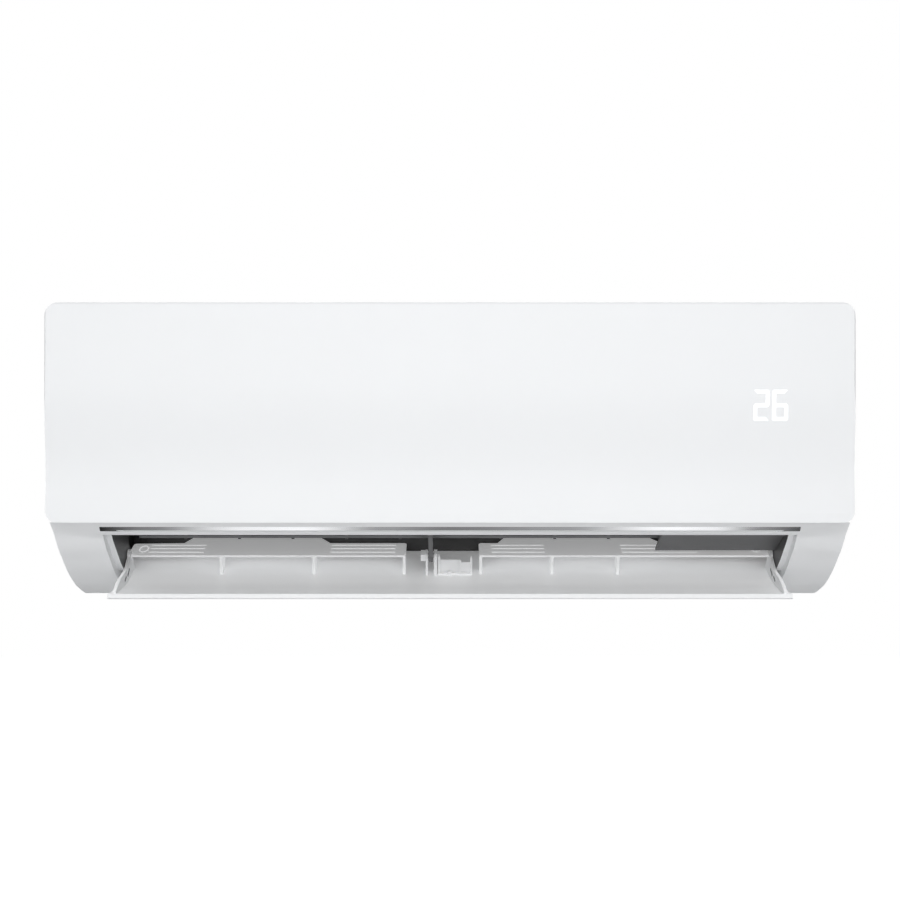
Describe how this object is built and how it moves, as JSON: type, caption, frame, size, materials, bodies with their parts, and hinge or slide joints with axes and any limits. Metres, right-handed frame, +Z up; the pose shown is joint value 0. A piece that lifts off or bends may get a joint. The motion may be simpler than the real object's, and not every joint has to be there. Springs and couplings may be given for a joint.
{
  "type": "wall air conditioner indoor unit",
  "caption": "Wall-mounted split air conditioner indoor unit with hinged front panel, swinging air flap, upright vanes, cross-flow fan, folded coil and pull-out filters.",
  "frame": {"origin": "on the wall, where the mounting plate's back face meets it, at mid-width and at mid-height of the casing", "axes": "+X to the right seen from the room, +Y into the wall, +Z up"},
  "size_m": [0.698, 0.19, 0.2568],
  "materials": {
    "white_shell": "satin gloss moulded white",
    "white_inner": "satin moulded white",
    "grey_plastic": "matt grey",
    "dark_plastic": "matt near-black",
    "chrome_trim": "bright",
    "steel": "galvanised or plain steel",
    "aluminium_fins": "thin pressed fins",
    "copper": "drawn copper tube",
    "brass_nut": "turned brass",
    "rubber": "moulded",
    "circuit_board": "lacquered board"
  },
  "bodies": {
    "unit": {"button_switch": "dark_plastic", "coil_end_left": "copper", "coil_end_right": "copper", "coil_front_lower": "aluminium_fins", "coil_front_upper": "aluminium_fins", "coil_rear": "aluminium_fins", "control_board": "circuit_board", "control_box": "grey_plastic", "control_lid": "steel", "display_housing": "dark_plastic", "drain_tray": "grey_plastic", "duct_closure": "grey_plastic", "fan_bearing": "rubber", "fan_motor": "steel", "flap_motor": "steel", "flap_stay": "grey_plastic", "front_casing": "white_shell", "gas_nut": "brass_nut", "gas_pipe": "copper", "liquid_nut": "brass_nut", "liquid_pipe": "copper", "motor_clamp": "steel", "mounting_plate": "steel", "outlet_trim": "chrome_trim", "rear_chassis": "white_inner", "service_cover": "white_inner", "terminal_block": "dark_plastic", "vane_motor": "steel"},
    "front_panel": {"front_panel": "white_shell"},
    "fan": {"fan_rotor": "dark_plastic", "fan_shaft": "steel", "motor_shaft": "steel"},
    "flap": {"flap": "white_shell", "flap_pin": "steel", "flap_blade_left": "white_inner", "flap_blade_right": "white_inner"},
    "vane_crank": {"vane_crank": "white_inner"},
    "vane_link": {"vane_link": "grey_plastic"},
    "air_filter_left": {"air_filter_left": "grey_plastic"},
    "air_filter_right": {"air_filter_right": "grey_plastic"},
    "manual_button": {"manual_button": "white_inner"},
    "vane_1": {"vane_1": "dark_plastic"},
    "vane_2": {"vane_2": "dark_plastic"},
    "vane_3": {"vane_3": "dark_plastic"},
    "vane_4": {"vane_4": "dark_plastic"},
    "vane_5": {"vane_5": "dark_plastic"},
    "vane_6": {"vane_6": "dark_plastic"},
    "vane_7": {"vane_7": "dark_plastic"},
    "vane_8": {"vane_8": "dark_plastic"}
  },
  "joints": [
    {"name": "panel_hinge", "type": "hinge", "parent": "unit", "child": "front_panel", "pos_m": [0, -0.182, 0.1195], "axis": [-1, 0, 0], "range_deg": [0, 70]},
    {"name": "fan_spin", "type": "hinge", "parent": "unit", "child": "fan", "pos_m": [-0.0515, -0.068, -0.008], "axis": [1, 0, 0], "continuous": true},
    {"name": "flap_pivot", "type": "hinge", "parent": "unit", "child": "flap", "pos_m": [0, -0.078, -0.0913], "axis": [1, 0, 0], "range_deg": [-37.7, 25]},
    {"name": "crank_pivot", "type": "hinge", "parent": "unit", "child": "vane_crank", "pos_m": [0.204, -0.106, -0.0725], "axis": [0, 0, 1], "range_deg": [-30, 30]},
    {"name": "link_pivot", "type": "hinge", "parent": "vane_crank", "child": "vane_link", "pos_m": [0.204, -0.088, -0.073], "axis": [0, 0, 1], "range_deg": [-30, 30]},
    {"name": "vane_1_pivot", "type": "hinge", "parent": "unit", "child": "vane_1", "pos_m": [-0.243, -0.106, -0.0555], "axis": [0, 0, 1], "range_deg": [-30, 30]},
    {"name": "vane_2_pivot", "type": "hinge", "parent": "unit", "child": "vane_2", "pos_m": [-0.1937, -0.106, -0.0555], "axis": [0, 0, 1], "range_deg": [-30, 30]},
    {"name": "vane_3_pivot", "type": "hinge", "parent": "unit", "child": "vane_3", "pos_m": [-0.1444, -0.106, -0.0555], "axis": [0, 0, 1], "range_deg": [-30, 30]},
    {"name": "vane_4_pivot", "type": "hinge", "parent": "unit", "child": "vane_4", "pos_m": [-0.0951, -0.106, -0.0555], "axis": [0, 0, 1], "range_deg": [-30, 30]},
    {"name": "vane_5_pivot", "type": "hinge", "parent": "unit", "child": "vane_5", "pos_m": [-0.0458, -0.106, -0.0555], "axis": [0, 0, 1], "range_deg": [-30, 30]},
    {"name": "vane_6_pivot", "type": "hinge", "parent": "unit", "child": "vane_6", "pos_m": [0.047, -0.106, -0.0555], "axis": [0, 0, 1], "range_deg": [-30, 30]},
    {"name": "vane_7_pivot", "type": "hinge", "parent": "unit", "child": "vane_7", "pos_m": [0.0963, -0.106, -0.0555], "axis": [0, 0, 1], "range_deg": [-30, 30]},
    {"name": "vane_8_pivot", "type": "hinge", "parent": "unit", "child": "vane_8", "pos_m": [0.1456, -0.106, -0.0555], "axis": [0, 0, 1], "range_deg": [-30, 30]},
    {"name": "filter_left_slide", "type": "slide", "parent": "unit", "child": "air_filter_left", "axis": [0, 0, 1], "range_m": [0, 0.2]},
    {"name": "filter_right_slide", "type": "slide", "parent": "unit", "child": "air_filter_right", "axis": [0, 0, 1], "range_m": [0, 0.2]},
    {"name": "button_press", "type": "slide", "parent": "unit", "child": "manual_button", "axis": [0, 1, 0], "range_m": [0, 0.0015], "stiffness_N_per_m": 400, "springref_m": -0.0005}
  ],
  "couplings": [
    {"joint": "link_pivot", "follows": "crank_pivot", "ratio": -1},
    {"joint": "vane_1_pivot", "follows": "crank_pivot", "ratio": 1},
    {"joint": "vane_2_pivot", "follows": "crank_pivot", "ratio": 1},
    {"joint": "vane_3_pivot", "follows": "crank_pivot", "ratio": 1},
    {"joint": "vane_4_pivot", "follows": "crank_pivot", "ratio": 1},
    {"joint": "vane_5_pivot", "follows": "crank_pivot", "ratio": 1},
    {"joint": "vane_6_pivot", "follows": "crank_pivot", "ratio": 1},
    {"joint": "vane_7_pivot", "follows": "crank_pivot", "ratio": 1},
    {"joint": "vane_8_pivot", "follows": "crank_pivot", "ratio": 1}
  ]
}
